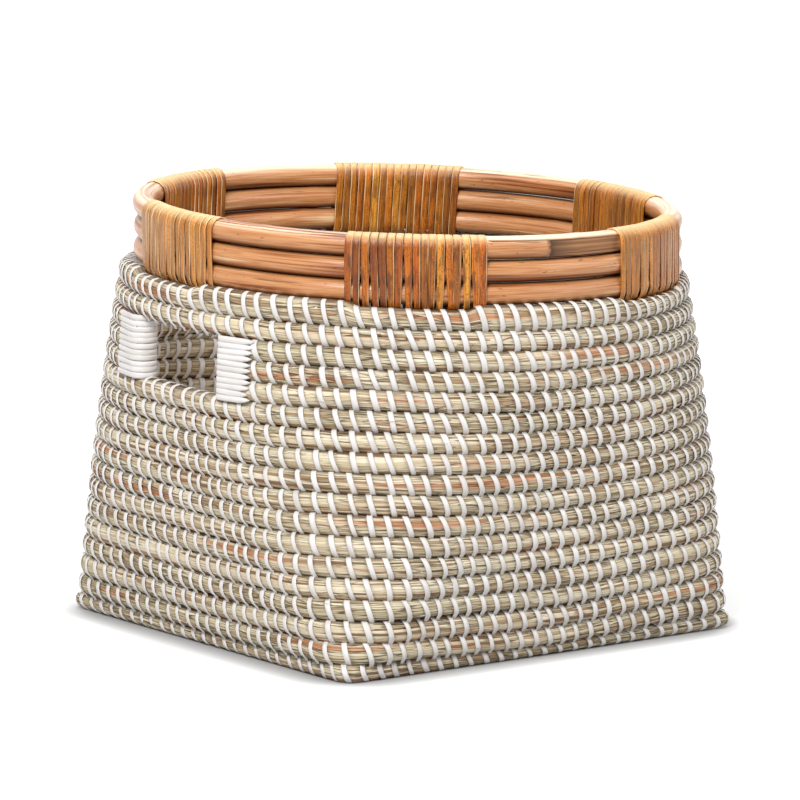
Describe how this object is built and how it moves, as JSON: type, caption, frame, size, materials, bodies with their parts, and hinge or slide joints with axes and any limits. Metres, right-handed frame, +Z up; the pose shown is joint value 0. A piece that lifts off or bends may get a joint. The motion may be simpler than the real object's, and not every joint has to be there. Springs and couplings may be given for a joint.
{
  "type": "planter basket",
  "caption": "Coiled seagrass planter basket, square at the foot and round at the rim, with hand slots and a cane rim bound with cane strip.",
  "frame": {"origin": "on the surface that the basket stands on, below the middle of its top course; the foot stands 3 mm off that, because the basket leans", "axes": "+Z up through the open rim; the hand slots are in the faces towards -X and +X"},
  "size_m": [0.4, 0.3998, 0.3065],
  "materials": {
    "seagrass": "matte dried seagrass bundle with visible fibres",
    "white_strip": "white flat strip with a slight sheen",
    "cane_pole": "peeled cane pole, satin",
    "cane_strip": "split cane peel, satin"
  },
  "bodies": {
    "root": {"base_coil": "seagrass", "lower_wall_coil": "seagrass", "handle_row_front_lower": "seagrass", "handle_row_back_lower": "seagrass", "handle_row_front_middle": "seagrass", "handle_row_back_middle": "seagrass", "handle_row_front_upper": "seagrass", "handle_row_back_upper": "seagrass", "upper_wall_coil": "seagrass", "handle_binding_left_front": "white_strip", "handle_binding_left_back": "white_strip", "handle_binding_right_front": "white_strip", "handle_binding_right_back": "white_strip", "rim_pole_lower": "cane_pole", "rim_pole_middle": "cane_pole", "rim_pole_upper": "cane_pole", "rim_wrap_right": "cane_strip", "rim_wrap_back_right": "cane_strip", "rim_wrap_back_left": "cane_strip", "rim_wrap_left": "cane_strip", "rim_wrap_front_left": "cane_strip", "rim_wrap_front_right": "cane_strip"}
  },
  "joints": []
}
